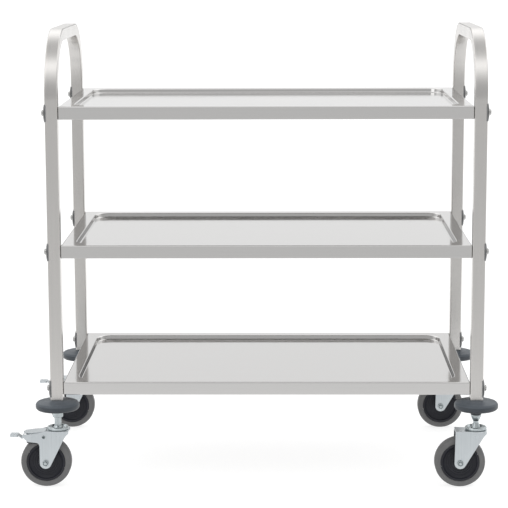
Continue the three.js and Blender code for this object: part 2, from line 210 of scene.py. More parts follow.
def lathe(name, profile, segments=48, axis="Z", ring=False):
    """A body turned from (radius, height) points. It is a ring, or it starts and ends on its axis."""
    points = []
    rows = []
    for radius, height in profile:
        count = 1 if radius < 1e-6 else segments
        rows.append(list(range(len(points), len(points) + count)))
        for k in range(count):
            a = 2 * math.pi * k / segments
            u, v = radius * math.cos(a), radius * math.sin(a)
            points.append({"X": (height, u, v), "Y": (u, height, v), "Z": (u, v, height)}[axis])
    pairs = list(zip(rows, rows[1:]))
    if ring:
        pairs.append((rows[-1], rows[0]))
    faces = []
    for low, high in pairs:
        for k in range(segments):
            n = (k + 1) % segments
            face = [low[k % len(low)], low[n % len(low)], high[n % len(high)], high[k % len(high)]]
            face = [p for i, p in enumerate(face) if p != face[i - 1]]
            if len(face) > 2:
                faces.append(face)
    return make_mesh(name, points, faces)


def prism(name, outline, low, high, axis="Y"):
    """An outline pushed along an axis from low to high."""
    place = {
        "X": lambda a, b, h: (h, a, b),
        "Y": lambda a, b, h: (a, h, b),
        "Z": lambda a, b, h: (a, b, h),
    }[axis]
    count = len(outline)
    points = [place(a, b, low) for a, b in outline] + [place(a, b, high) for a, b in outline]
    faces = [list(range(count)), list(range(count, 2 * count))]
    for k in range(count):
        n = (k + 1) % count
        faces.append([k, n, count + n, count + k])
    return make_mesh(name, points, faces)


def pin(radius, low, high, axis, at=(0, 0, 0), segments=32):
    """A round pin along an axis through a point, used as a shank or as a drill."""
    mesh = lathe("pin", [(0, low), (radius, low), (radius, high), (0, high)], segments, axis)
    mesh.transform(Matrix.Translation(Vector(at) * MM))
    return mesh


def box_outline(a0, a1, b0, b1, radius, steps=4):
    """A rectangle with rounded corners."""
    corners = [(a0, b0, radius), (a1, b0, radius), (a1, b1, radius), (a0, b1, radius)]
    return rounded(corners, steps, closed=True)


# ---- placing pieces ----
def piece(name, mesh, material, body, nodes=(), at=(0, 0, 0), turn=0.0):
    """A finished piece at a point in metres, on a body, standing for CAD nodes."""
    made = bpy.data.objects.new(name, mesh)
    bpy.context.collection.objects.link(made)
    if not mesh.materials:
        mesh.materials.append(material)
    made.location = at
    made.rotation_euler = (0, 0, turn)
    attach(made, body)
    if nodes:
        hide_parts(*nodes)
    return made


# ---- materials ----
NOISE_RANGE = (0.3, 0.7)  # a noise lies mostly between these
GRAIN_DEPTH = 0.0001
PEBBLE_DEPTH = 0.0002
DRIFT_SCALE = 35.0
MOULDED_SPECULAR = 0.4
LOOKS_DOWN = -0.35  # a moulded face that looks down this much gets the full painted shade of its underside
LOOKS_UP = 0.75  # and one that looks up this much has its full tone, with no painted shade


def new_material(name):
    material = bpy.data.materials.new(name)
    material.use_nodes = True
    return material, material.node_tree.nodes, material.node_tree.links


def coordinates(nodes, links, kind, stretch):
    """Texture coordinates scaled along each axis: the piece's own, or the bent tube's for its grain."""
    if kind == "grain":
        source = nodes.new("ShaderNodeUVMap")
        source.uv_map = "grain"
        place = source.outputs["UV"]
    else:
        place = nodes.new("ShaderNodeTexCoord").outputs["Object"]
    mapping = nodes.new("ShaderNodeMapping")
    mapping.inputs["Scale"].default_value = stretch
    links.new(place, mapping.inputs["Vector"])
    return mapping.outputs["Vector"]


def noise(nodes, links, vector, scale, detail=3.0, roughness=0.5):
    made = nodes.new("ShaderNodeTexNoise")
    made.inputs["Scale"].default_value = scale
    made.inputs["Detail"].default_value = detail
    made.inputs["Roughness"].default_value = roughness
    links.new(vector, made.inputs["Vector"])
    return made.outputs["Fac"]


def mapped(nodes, links, value, source, target=(0, 1)):
    """The value taken from one range to another, and kept within it."""
    made = nodes.new("ShaderNodeMapRange")
    made.inputs["From Min"].default_value, made.inputs["From Max"].default_value = source
    made.inputs["To Min"].default_value, made.inputs["To Max"].default_value = target
    links.new(value, made.inputs["Value"])
    return made.outputs["Result"]


def calculated(nodes, links, operation, first, second=None):
    """A sum on two sockets, or on one alone."""
    made = nodes.new("ShaderNodeMath")
    made.operation = operation
    links.new(first, made.inputs[0])
    if second is not None:
        links.new(second, made.inputs[1])
    return made.outputs["Value"]


def blended(nodes, links, share, first, second):
    """Goes from the first colour to the second: each is a socket or a plain (red, green, blue)."""
    made = nodes.new("ShaderNodeMix")
    made.data_type = "RGBA"
    links.new(share, made.inputs["Factor"])
    for colour, socket in ((first, made.inputs["A"]), (second, made.inputs["B"])):
        if isinstance(colour, tuple):
            socket.default_value = (*colour, 1)
        else:
            links.new(colour, socket)
    return made.outputs["Result"]


def add_bump(nodes, links, height, strength, distance):
    made = nodes.new("ShaderNodeBump")
    made.inputs["Strength"].default_value = strength
    made.inputs["Distance"].default_value = distance
    links.new(height, made.inputs["Height"])
    links.new(made.outputs["Normal"], nodes["Principled BSDF"].inputs["Normal"])


def grained_metal(name, look):
    """A metal with fine lines along its grain and broad soft smudges."""
    material, nodes, links = new_material(name)
    shader = nodes["Principled BSDF"]
    shader.inputs["Metallic"].default_value = 1.0
    along = coordinates(nodes, links, look["from"], look["stretch"])
    lines = noise(nodes, links, along, 1.0, detail=4.0, roughness=0.6)
    place = coordinates(nodes, links, "object", (1, 1, 1))
    smudges = noise(nodes, links, place, look["smudge"], detail=2.0)
    share = mapped(nodes, links, lines, NOISE_RANGE)
    links.new(blended(nodes, links, share, look["dark"], look["light"]), shader.inputs["Base Color"])
    from_lines = mapped(nodes, links, lines, NOISE_RANGE, (0, look["line_roughness"]))
    from_smudges = mapped(nodes, links, smudges, NOISE_RANGE, look["roughness"])
    links.new(calculated(nodes, links, "ADD", from_lines, from_smudges), shader.inputs["Roughness"])
    add_bump(nodes, links, lines, look["bump"], GRAIN_DEPTH)
    return material


def moulded(name, dark, light, roughness, grain, bump, painted_underside_shade=1.0):
    """A moulded rubber or plastic: a fine pebble in its surface and gloss, and a slow drift of tone.

    Faces that look down get painted shade: they keep only the given underside share of its tone.
    """
    material, nodes, links = new_material(name)
    shader = nodes["Principled BSDF"]
    place = coordinates(nodes, links, "object", (1, 1, 1))
    drift = noise(nodes, links, place, DRIFT_SCALE)
    pebble = noise(nodes, links, place, grain, detail=2.0, roughness=0.6)
    colour = blended(nodes, links, mapped(nodes, links, drift, NOISE_RANGE), dark, light)
    # painted shade: faces that look down are darkened towards the underside share of the tone
    if painted_underside_shade < 1:
        facing = nodes.new("ShaderNodeSeparateXYZ")
        links.new(nodes.new("ShaderNodeTexCoord").outputs["Normal"], facing.inputs["Vector"])
        painted_shade_share = mapped(nodes, links, facing.outputs["Z"], (LOOKS_DOWN, LOOKS_UP), (painted_underside_shade, 1))
        scale = nodes.new("ShaderNodeVectorMath")
        scale.operation = "SCALE"
        links.new(colour, scale.inputs["Vector"])
        links.new(painted_shade_share, scale.inputs["Scale"])
        colour = scale.outputs["Vector"]
    links.new(colour, shader.inputs["Base Color"])
    links.new(mapped(nodes, links, pebble, NOISE_RANGE, roughness), shader.inputs["Roughness"])
    shader.inputs["Specular IOR Level"].default_value = MOULDED_SPECULAR
    add_bump(nodes, links, pebble, bump, PEBBLE_DEPTH)
    return material


FRAME_STEEL = grained_metal("satin_tube_steel", {
    "from": "grain", "stretch": (6, 900, 1), "smudge": 9.0,
    "dark": (0.612, 0.598, 0.582), "light": (0.638, 0.624, 0.608),
    "roughness": (0.21, 0.26), "line_roughness": 0.03, "bump": 0.03})
TRAY_STEEL = grained_metal("bright_tray_steel", {
    "from": "object", "stretch": (5, 420, 420), "smudge": 5.0,
    "dark": (0.61, 0.603, 0.596), "light": (0.63, 0.623, 0.616),
    "roughness": (0.07, 0.10), "line_roughness": 0.02, "bump": 0.01})
FASTENER_STEEL = grained_metal("fastener_steel", {
    "from": "object", "stretch": (600, 600, 600), "smudge": 60.0,
    "dark": (0.46, 0.46, 0.455), "light": (0.54, 0.54, 0.53),
    "roughness": (0.2, 0.3), "line_roughness": 0.05, "bump": 0.03})
ZINC = grained_metal("zinc_plate", {
    "from": "object", "stretch": (260, 260, 14), "smudge": 40.0,
    "dark": (0.50, 0.535, 0.555), "light": (0.56, 0.595, 0.615),
    "roughness": (0.24, 0.32), "line_roughness": 0.04, "bump": 0.03})
# A darker copy of the zinc for the stems, axles and lever pins: its darkness is painted shade, standing in
# for the dark reflection inside each race dish.
DARK_ZINC_PAINTED_SHADE = grained_metal("dark_zinc_painted_shade", {
    "from": "object", "stretch": (300, 300, 40), "smudge": 60.0,
    "dark": (0.40, 0.44, 0.45), "light": (0.50, 0.54, 0.555),
    "roughness": (0.2, 0.28), "line_roughness": 0.04, "bump": 0.03})
# The bumper's faces that look down carry painted shade, at 0.4 of its tone.
BUMPER_RUBBER = moulded(
    "slate_bumper_rubber", dark=(0.068, 0.081, 0.097), light=(0.086, 0.102, 0.12),
    roughness=(0.38, 0.48), grain=1500, bump=0.12, painted_underside_shade=0.4)
TYRE_RUBBER = moulded(
    "grey_tyre_rubber", dark=(0.125, 0.125, 0.126), light=(0.15, 0.15, 0.151),
    roughness=(0.55, 0.7), grain=1100, bump=0.2)
HUB_PLASTIC = moulded(
    "black_hub_plastic", dark=(0.008, 0.009, 0.014), light=(0.012, 0.013, 0.02),
    roughness=(0.44, 0.56), grain=1500, bump=0.1)
PAD_RUBBER = moulded(
    "grey_pad_rubber", dark=(0.19, 0.193, 0.197), light=(0.22, 0.223, 0.227),
    roughness=(0.4, 0.55), grain=1200, bump=0.15)
BLACK_RUBBER = moulded(
    "black_rubber", dark=(0.014, 0.014, 0.015), light=(0.022, 0.022, 0.023),
    roughness=(0.5, 0.65), grain=1200, bump=0.2)


# ---- end frames ----
SAME_POINT = 0.01  # stations of the tube closer than this, in millimetres, are one


def square_section(half, radius):
    """The outline of the tube's outer or inner skin."""
    return box_outline(-half, half, -half, half, radius, steps=5)


def frame_stations(half_depth, top, foot, steps=28):
    """Centre line of the bent tube in the Y-Z plane: each station's point and the direction outwards."""
    radius = BEND_RADIUS - TUBE / 2
    leg = half_depth - TUBE / 2
    centre_y, centre_z = leg - radius, top - TUBE / 2 - radius
    stations = [((-leg, foot), (-1, 0)), ((-leg, centre_z), (-1, 0))]
    for first, last, side in ((180, 90, -1), (90, 0, 1)):
        for a in (math.radians(first + (last - first) * k / steps) for k in range(steps + 1)):
            out = (math.cos(a), math.sin(a))
            point = (side * centre_y + radius * out[0], centre_z + radius * out[1])
            stations.append((point, out))
    stations.append(((leg, foot), (1, 0)))
    painted_shade_share = [stations[0]]
    for station in stations[1:]:
        if (Vector(station[0]) - Vector(painted_shade_share[-1][0])).length > SAME_POINT:
            painted_shade_share.append(station)
    return painted_shade_share


def end_frame_mesh(half_depth, top, foot, bolt_heights):
    """The bent tube with both its skins, joined at its feet. Its UV map follows its length and girth."""
    stations = frame_stations(half_depth, top, foot)
    outer = square_section(TUBE / 2, TUBE_CORNER)
    inner = square_section(TUBE / 2 - TUBE_WALL, TUBE_CORNER - TUBE_WALL)
    count = len(outer)
    points, faces, uvs = [], [], []
    lengths = [0.0]
    for (a, _), (b, _) in zip(stations, stations[1:]):
        lengths.append(lengths[-1] + (Vector(b) - Vector(a)).length * MM)
    girth = [4 * TUBE * MM * k / count for k in range(count + 1)]
    for section in (outer, inner):
        for (y, z), (out_y, out_z) in stations:
            points += [(u, y + v * out_y, z + v * out_z) for u, v in section]
    layer = count * len(stations)
    for skin in (0, layer):
        for s in range(len(stations) - 1):
            for k in range(count):
                n = (k + 1) % count
                base = skin + s * count
                faces.append([base + k, base + n, base + count + n, base + count + k])
                uvs.append([
                    (lengths[s], girth[k]), (lengths[s], girth[k + 1]),
                    (lengths[s + 1], girth[k + 1]), (lengths[s + 1], girth[k])])
    for base in (0, count * (len(stations) - 1)):
        for k in range(count):
            n = (k + 1) % count
            faces.append([base + k, base + n, layer + base + n, layer + base + k])
            uvs.append([(0, girth[k]), (0, girth[k + 1]), (0, girth[k + 1]), (0, girth[k])])
    tube = make_mesh("end_frame", points, faces, uvs)
    leg = half_depth - TUBE / 2
    drills = [
        pin(BOLT_RADIUS + GAP, -TUBE, TUBE, "X", (0, end * leg, z), 24)
        for end in ENDS.values() for z in bolt_heights]
    return shaded(cut(tube, *drills), angle=20)


# ---- trays ----
HEM = 8
TRAY_OUTER_CORNER = 1.6
TRAY_LEAST_CORNER = 0.3


def sheet_section():
    """Both skins of the pressed sheet, from the base's underside out to the hem and back to its top."""
    half = SHEET / 2
    rim = TRAY_HEIGHT - half
    base = TRAY_HEIGHT - TRAY_RECESS - half
    middle = rounded([
        (3 * half, HEM), (3 * half, half, half), (half, half, half), (half, rim, 2.0),
        (TRAY_RIM + 0.8, rim, 1.8), (TRAY_RIM + 2.4, base, 2.6), (TRAY_RIM + 10, base)], 6)
    skins = ([], [])
    for i, here in enumerate(middle):
        before = Vector(middle[max(i - 1, 0)])
        after = Vector(middle[min(i + 1, len(middle) - 1)])
        along = (after - before).normalized()
        side = Vector((-along.y, along.x)) * half
        skins[0].append(tuple(Vector(here) + side))
        skins[1].append(tuple(Vector(here) - side))
    return skins[1][::-1] + skins[0]


def tray_loop(half_x, half_y, inset, height, steps=12):
    """A rounded rectangle inside the tray's outline: its corners are small outside, wide in the recess."""
    if inset < TRAY_RIM / 2:
        radius = max(TRAY_OUTER_CORNER - inset, TRAY_LEAST_CORNER)
    else:
        radius = TRAY_CORNER + TRAY_RIM - inset
    x, y = half_x - inset, half_y - inset
    loop = []
    for start, sx, sy in ((0, 1, 1), (90, -1, 1), (180, -1, -1), (270, 1, -1)):
        centre = (sx * (x - radius), sy * (y - radius))
        loop += [(a, b, height) for a, b in arc(centre, radius, start, start + 90, steps)]
    return loop


def tray_mesh(half_x, half_y, leg_y):
    """The pressed tray, closed by its base, with holes for the bolts through its end flanges."""
    loops = [tray_loop(half_x, half_y, inset, height) for inset, height in sheet_section()]
    count = len(loops[0])
    points = [p for loop in loops for p in loop]
    faces = [list(range(count)), list(range(len(points) - count, len(points)))]
    for s in range(len(loops) - 1):
        for k in range(count):
            n = (k + 1) % count
            faces.append([s * count + k, s * count + n, (s + 1) * count + n, (s + 1) * count + k])
    drills = []
    for side in SIDES.values():
        for end in ENDS.values():
            at = (side * half_x, end * leg_y, TRAY_HEIGHT / 2)
            drills.append(pin(BOLT_RADIUS + GAP, -2 * SHEET, 2 * SHEET, "X", at, 24))
    return shaded(cut(make_mesh("tray", points, faces), *drills), angle=20)


# ---- tray fastenings, on a right-hand leg with X outwards ----
PAD = 1.2
PAD_HALF_WIDTH = 14.2
PAD_HALF_HEIGHT = 16.5
PAD_WRAP = 2.5  # how far the pad's edges reach back round the tube
DISH = 2.3
DISH_RADIUS = 17.5
BOLT_HEAD_RADIUS = 6
BOLT_HEAD_HEIGHT = 3.8
NUT_HALF_WIDTH = 4.4
NUT_HEIGHT = 5.4
NUT_FLANGE = 1.1
SOCKET_RADIUS = 2.3
SOCKET_DEPTH = 2.2


def bolt_mesh():
    """A domed head with a socket, a shank through the tube and a flanged nut inside the tray."""
    under_head = TUBE / 2 + GAP + PAD + DISH + GAP
    nut_face = -TUBE / 2 - GAP - SHEET - GAP
    head = rounded([
        (0, under_head - 8), (BOLT_RADIUS, under_head - 8), (BOLT_RADIUS, under_head),
        (BOLT_HEAD_RADIUS, under_head, 0.3), (BOLT_HEAD_RADIUS, under_head + 1.4, 0.8),
        (4.4, under_head + 3.4, 2.0), (0, under_head + BOLT_HEAD_HEIGHT)], 5)
    body = lathe("bolt", head, 40, "X")
    shank = pin(BOLT_RADIUS, nut_face - 6, under_head - 7, "X", segments=40)
    flange = lathe("flange", rounded([
        (BOLT_RADIUS - 0.5, nut_face - NUT_FLANGE), (NUT_HALF_WIDTH, nut_face - NUT_FLANGE, 0.2),
        (NUT_HALF_WIDTH, nut_face, 0.2), (BOLT_RADIUS - 0.5, nut_face)], 2), 40, "X", ring=True)
    hexagon = arc((0, 0), NUT_HALF_WIDTH / math.cos(math.pi / 6), 30, 330, 5)
    nut = prism("nut", hexagon, nut_face - NUT_HEIGHT, nut_face - 1.0, "X")
    hexagon = arc((0, 0), SOCKET_RADIUS, 0, 300, 5)
    socket = prism("socket", hexagon, under_head + BOLT_HEAD_HEIGHT - SOCKET_DEPTH, under_head + 6, "X")
    return shaded(cut(join(body, shank, flange, nut), socket), 0.18, 2)


def dish_mesh():
    """The dished steel washer under a bolt's head."""
    base = TUBE / 2 + GAP + PAD
    bore = BOLT_RADIUS + GAP
    profile = rounded([
        (bore, base + DISH - 0.9), (6.6, base + DISH - 0.9, 2), (DISH_RADIUS - 0.6, base - 0.5),
        (DISH_RADIUS, base - 0.5, 0.2), (DISH_RADIUS, base + 0.1, 0.3), (7.2, base + DISH, 2),
        (bore, base + DISH)], 4)
    return shaded(lathe("dish", profile, 56, "X", ring=True))


def saddle_mesh():
    """The grey moulded pad between the dished washer and the square tube."""
    face = TUBE / 2 + GAP
    low = TUBE / 2 - PAD_WRAP
    back = face + PAD - 0.6
    outline = rounded([
        (low, -PAD_HALF_WIDTH), (back, -PAD_HALF_WIDTH, 1.4), (back, PAD_HALF_WIDTH, 1.4),
        (low, PAD_HALF_WIDTH), (low, face), (face, face), (face, -face), (low, -face)], 4, closed=True)
    body = prism("saddle", outline, -PAD_HALF_HEIGHT, PAD_HALF_HEIGHT, "Z")
    return shaded(cut(body, pin(BOLT_RADIUS + GAP, 0, TUBE, "X", segments=24)), 0.35, 2)


# ---- casters: heights from the floor, X from the swivel axis, the wheel trailing towards -X ----
BUMPER_RADIUS = 43.2
BRAKED_REAR = -21.5  # where the head plate of each kind of fork ends
PLAIN_REAR = -PLAIN_TRAIL - FORK_BOSS + 1.5
RIVET_RADIUS = 9.5
RACE_RADIUS = 21.4
PLUG_RADIUS = 10.9
AXLE_HEAD_RADIUS = 6.25
STEMS = {
    "braked": {"neck": 6.8, "cone_top": 123.5, "collar": [
        (9.9, 140.2, 0.2), (10.4, 140.7, 0.3), (10.4, BUMPER_BOTTOM - GAP, 0.2)]},
    "plain": {"neck": 5.3, "cone_top": 129, "collar": [
        (5.9, 132.5, 1.5), (10.0, 141.6, 0.8), (10.4, 142.6, 0.5), (10.2, 145.5, 0.8)]},
}


def bumper_mesh(kind):
    """A round rubber bumper with a blunt rim. On a plain caster it has a tapered boss below."""
    bore = STEMS[kind]["neck"] + GAP
    if kind == "plain":
        low = STEMS[kind]["collar"][-1][1] + GAP
        under = [(bore, low), (10.7, low, 0.8), (13.4, BUMPER_BOTTOM, 1.0)]
    else:
        under = [(bore, BUMPER_BOTTOM + 2), (12, BUMPER_BOTTOM + 2, 0.5), (14, BUMPER_BOTTOM, 0.8)]
    profile = rounded([
        *under, (39.8, BUMPER_BOTTOM, 4.0), (BUMPER_RADIUS, 159.8, 3.4), (BUMPER_RADIUS, 166.6, 3.6),
        (40.2, 170.6, 4.0), (27.5, 174.4, 16), (17, LEG_FOOT - GAP, 8),
        (bore, LEG_FOOT - GAP)], 7)
    return shaded(lathe("bumper", profile, 96, ring=True), angle=30)


def stem_mesh(kind):
    """Rivet, kingpin, race, neck, collar and the plug inside the leg, from the bottom up."""
    look = STEMS[kind]
    neck, cone_top, collar = look["neck"], look["cone_top"], look["collar"]
    race = FORK_TOP + GAP
    rivet = FORK_TOP - FORK_PLATE - GAP
    plug = LEG_FOOT + GAP
    profile = rounded([
        (0, rivet - 3), (RIVET_RADIUS, rivet - 3, 1.2), (RIVET_RADIUS, rivet, 0.3),
        (KINGPIN_RADIUS, rivet), (KINGPIN_RADIUS, race), (19.0, race, 0.3), (19.0, race + 1.3, 0.4),
        (RACE_RADIUS, race + 2.0, 0.8), (RACE_RADIUS, race + 4.2, 1.0), (20.3, race + 6.2, 1.0),
        (17.9, race + 6.4, 0.8), (15.6, race + 3.3, 1.2), (9.6, race + 3.2, 0.6),
        (9.4, race + 4.6, 0.8), (neck, cone_top, 3.0), (neck, collar[0][1], 0.3), *collar,
        (neck, collar[-1][1]), (neck, plug),
        (PLUG_RADIUS, plug, 0.6), (PLUG_RADIUS, PLUG_TOP, 1.2), (0, PLUG_TOP)], 5)
    return shaded(lathe("stem", profile, 64), angle=40)


def plain_side():
    """The plain fork's side, tapering from the head plate to the boss round the axle."""
    outline = [(PLAIN_REAR, FORK_TOP)]
    outline += arc((-PLAIN_TRAIL, WHEEL_RADIUS), FORK_BOSS, 180, 333, 18)
    outline.append((11, 98))
    outline += curve((11, 98), (15, 105), (20, 109.5))
    outline.append((20, FORK_TOP))
    return outline


def brake_side():
    """The braked fork's side, with the ear that reaches back beside the lever."""
    shank = -BRAKE_TRAIL - FORK_BOSS
    outline = [(-24, FORK_TOP), (-38, 110.8), (-69.5, 106.8), (-70.3, 104.5), (-59, 93.2), (-41, 91)]
    outline += curve((-41, 91), (shank, 90), (shank, 82))
    outline += arc((-BRAKE_TRAIL, WHEEL_RADIUS), FORK_BOSS, 180, 337, 18)
    outline.append((9.5, 91.5))
    outline += curve((9.5, 91.5), (14, 104), (22, 109.5))
    outline.append((22, FORK_TOP))
    return outline


def head_outline(rear):
    """The fork's head plate: a round front, and straight sides back to the rear."""
    lean = math.degrees(math.asin(FORK_OUTER / FORK_HEAD))
    return arc((0, 0), FORK_HEAD, lean - 180, 180 - lean, 40) + [(rear, FORK_OUTER), (rear, -FORK_OUTER)]


def round_shoulders(mesh, radius, segments=5):
    """Rounds the long folds between a fork's head plate and its sides."""
    slack = 0.05
    shortest = 2
    shape = bmesh.new()
    shape.from_mesh(mesh)
    folds = []
    for edge in shape.edges:
        points = [v.co / MM for v in edge.verts]
        outside = all(abs(p.z - FORK_TOP) < slack and abs(abs(p.y) - FORK_OUTER) < slack for p in points)
        if outside and edge.calc_length() > shortest * MM:
            folds.append(edge)
    bmesh.ops.bevel(
        shape, geom=folds, offset=radius * MM, segments=segments, profile=0.5,
        affect="EDGES", clamp_overlap=True)
    shape.to_mesh(mesh)
    shape.free()
    return mesh


def fork_mesh(side, rear, trail, cross_holes):
    """A sheet fork with holes for axle and kingpin, and cross holes given as (x, z, pin radius)."""
    sheet = FORK_OUTER - FORK_INNER
    plates = [prism("fork_side", side, y, y + sheet) for y in (FORK_INNER, -FORK_OUTER)]
    head = prism("fork_head", head_outline(rear), FORK_TOP - FORK_PLATE, FORK_TOP, "Z")
    body = round_shoulders(join(head, *plates), 2.6)
    holes = [pin(AXLE_RADIUS + GAP, -TUBE, TUBE, "Y", (-trail, 0, WHEEL_RADIUS))]
    holes += [pin(radius + GAP, -TUBE, TUBE, "Y", (x, 0, z)) for x, z, radius in cross_holes]
    holes.append(pin(KINGPIN_RADIUS + GAP, FORK_TOP - TUBE, FORK_TOP + TUBE, "Z"))
    made = cut(body, *holes)
    made.name = "fork"
    return shaded(made, 0.5, 3)


def axle_mesh():
    """An axle bolt with a head at each end and a ring groove round the tip in each head."""
    face = FORK_OUTER + GAP
    half = rounded([
        (AXLE_RADIUS, face), (AXLE_HEAD_RADIUS, face, 0.2), (AXLE_HEAD_RADIUS, face + 2.8, 1.2),
        (4.6, face + 3.2, 0.6), (4.2, face + 1.2, 0.4), (3.4, face + 1.2, 0.4),
        (3.0, face + 4.5, 1.2), (0, face + 4.5)], 4)
    whole = [(r, -y) for r, y in reversed(half)] + half
    return shaded(lathe("axle", whole, 48, "Y"), angle=35)


def hub_mesh():
    """A moulded wheel centre with a deep dish, shallow rings on its web and a boss at the axle."""
    bore = AXLE_RADIUS + GAP
    web, crest = 6.3, 7.0
    half = [(HUB_RADIUS, 11.2, 0.6), (34.4, 11.4, 0.8), (32.6, 8.6, 1.0), (29.4, 6.6, 1.0)]
    for ring in (26.8, 22.6, 18.4):
        half += [
            (ring + 0.9, web, 0.3), (ring + 0.4, crest, 0.3),
            (ring - 0.4, crest, 0.3), (ring - 0.9, web, 0.3)]
    half += [(13.6, 6.6, 1.5), (11, 10.5, 1.5), (10.4, FORK_INNER - GAP, 0.8), (bore, FORK_INNER - GAP)]
    outline = rounded([(HUB_RADIUS, 0), *half], 3)
    profile = [(r, -y) for r, y in reversed(outline[1:])] + outline
    return shaded(lathe("hub", profile, 96, "Y", ring=True), angle=40)


def tyre_mesh():
    """A solid tyre with rounded shoulders, on the hub's rim."""
    bore = HUB_RADIUS + GAP
    half = rounded([
        (bore, 0), (bore, 10.9), (39.2, 11.9, 0.6), (44.5, 12.5, 4), (48.6, 11.2, 2.6),
        (WHEEL_RADIUS, 7.5, 5), (WHEEL_RADIUS, 0)], 5)
    profile = [(r, -y) for r, y in reversed(half[1:-1])] + half
    return shaded(lathe("tyre", profile, 128, "Y", ring=True), angle=60)


# ---- brake ----
LEVER_SHEET = 2.0
ROOF_RIGHT = (-23.5, 113.4)
ROOF_LEFT = (-66, 110.4)
ROOF_HALF_WIDTH = 15.6
LUG_SHEET = 2.3
NECK_HALF_WIDTH = 8
TIP = [(-50, 15.9), (-72, 8.5)]  # the roof's half width where it starts to narrow and at its tip
TREAD_TOP = 105.5
TREAD_ROOT = -79
TREAD_SHEET = 4.5
TREAD_HALF_WIDTH = 10
RIB_HEIGHT = 0.4
RIB_PITCH = 3.4
RIB_WIDTH = 1.6
RIB_HALF_LENGTH = 7.5
BRAKE_PIN_RADIUS = 2
BRAKE_PIN_BORE = 7  # the depth of the bore in each end
SHOE_LEFT = -61
SHOE_RIGHT = -44
SHOE_HALF_WIDTH = 13
SHOE_CLEARANCE = 0.5  # between shoe and tyre with the pedal down
CHEEK_TOP = 96.2
CHEEK_RIGHT = -37.5
CHEEK_SHEET = 2.5
CHEEK_OUTER = 15.3


def lever_sheet(points, half_width, corner):
    """A strip of sheet whose upper side follows the points."""
    upper = [(x, z, corner) for x, z in points]
    lower = [(x, z - LEVER_SHEET, corner) for x, z in reversed(points)]
    return prism("sheet", rounded(upper + lower, 3, closed=True), -half_width, half_width)


def pedal_mesh():
    """The foot lever: a pressed channel over the fork's ears, a cranked neck and a ribbed tread."""
    px, pz = PEDAL_PIVOT
    right, left = ROOF_RIGHT[0], ROOF_LEFT[0]
    plate_top = TREAD_TOP - RIB_HEIGHT
    roof = lever_sheet([ROOF_RIGHT, ROOF_LEFT, (left - 3.5, 104)], ROOF_HALF_WIDTH, corner=0.8)
    neck = lever_sheet([
        (left - 2, 105.5), (left - 4.5, 98.2), (TREAD_ROOT - 1, plate_top), (TREAD_ROOT - 4, plate_top)],
        NECK_HALF_WIDTH, corner=0.4)
    plate = box_outline(-PEDAL_REACH, TREAD_ROOT, -TREAD_HALF_WIDTH, TREAD_HALF_WIDTH, 2.5)
    tread = prism("tread", plate, TREAD_TOP - TREAD_SHEET, plate_top, "Z")
    side = [
        (right, 112.9), (right, 99.5), (px, 97.6), (-34, 97.6), (-60, 96.6), (left - 4.5, 96.6),
        (left - 5, 99), (left, 109.9)]
    lugs = [prism("lug", side, y, y + LUG_SHEET) for y in (ROOF_HALF_WIDTH - LUG_SHEET, -ROOF_HALF_WIDTH)]
    ribs = []
    for k in range(4):
        start = -92.8 + RIB_PITCH * k
        bar = box_outline(start, start + RIB_WIDTH, -RIB_HALF_LENGTH, RIB_HALF_LENGTH, 0.6, 2)
        ribs.append(prism("rib", bar, TREAD_TOP - 1, TREAD_TOP, "Z"))
    beside_tip = []
    for end in (-1, 1):
        wedge = [(x, end * y) for x, y in TIP + [(TIP[1][0], TUBE), (TIP[0][0], TUBE)]]
        beside_tip.append(prism("wedge", wedge[::end], WHEEL_RADIUS, FORK_TOP, "Z"))
    body = join(roof, neck, tread, *lugs, *ribs)
    made = cut(body, pin(BRAKE_PIN_RADIUS + GAP, -TUBE, TUBE, "Y", (px, 0, pz)), *beside_tip)
    made.name = "pedal"
    return shaded(made, 0.3, 2)


def brake_pin_mesh():
    """A hollow rivet with a deep bore at each end."""
    face = FORK_OUTER + GAP
    floor = face - BRAKE_PIN_BORE
    half = rounded([
        (BRAKE_PIN_RADIUS, face), (3.6, face, 0.2), (3.6, face + 0.9, 0.5), (2.7, face + 1.3, 0.3),
        (1.7, face - 0.4, 0.5), (1.7, floor), (0, floor)], 3)
    whole = [(r, -y) for r, y in reversed(half)] + half
    mesh = lathe("brake_pin", whole, 32, "Y")
    mesh.transform(Matrix.Translation(Vector((PEDAL_PIVOT[0], 0, PEDAL_PIVOT[1])) * MM))
    return shaded(mesh, angle=35)


def shoe_mesh():
    """The rubber shoe: its lower face fits the tyre once the pedal is down, with a cheek on each side."""
    radius = WHEEL_RADIUS + SHOE_CLEARANCE
    pivot = Vector(PEDAL_PIVOT)
    spoke = Vector((-BRAKE_TRAIL, WHEEL_RADIUS)) - pivot
    centre = pivot + Matrix.Rotation(-PEDAL_TRAVEL, 2) @ spoke
    turn = [math.degrees(math.acos((x - centre.x) / radius)) for x in (SHOE_LEFT, SHOE_RIGHT)]
    slope = (ROOF_RIGHT[1] - ROOF_LEFT[1]) / (ROOF_RIGHT[0] - ROOF_LEFT[0])
    under_roof = ROOF_RIGHT[1] - LEVER_SHEET - GAP
    tops = [under_roof + (x - ROOF_RIGHT[0]) * slope for x in (SHOE_LEFT, SHOE_RIGHT)]
    outline = [(SHOE_LEFT, tops[0]), *arc(centre, radius, *turn, 10), (SHOE_RIGHT, tops[1])]
    cheek = rounded([
        (SHOE_LEFT, CHEEK_TOP, 0.5), (SHOE_LEFT, 90.4, 1.5), (CHEEK_RIGHT, 87.5, 1.5),
        (CHEEK_RIGHT, CHEEK_TOP, 0.5)], 3, closed=True)
    cheeks = [prism("cheek", cheek, y, y + CHEEK_SHEET) for y in (CHEEK_OUTER - CHEEK_SHEET, -CHEEK_OUTER)]
    return shaded(join(prism("shoe", outline, -SHOE_HALF_WIDTH, SHOE_HALF_WIDTH), *cheeks), 0.4, 2)


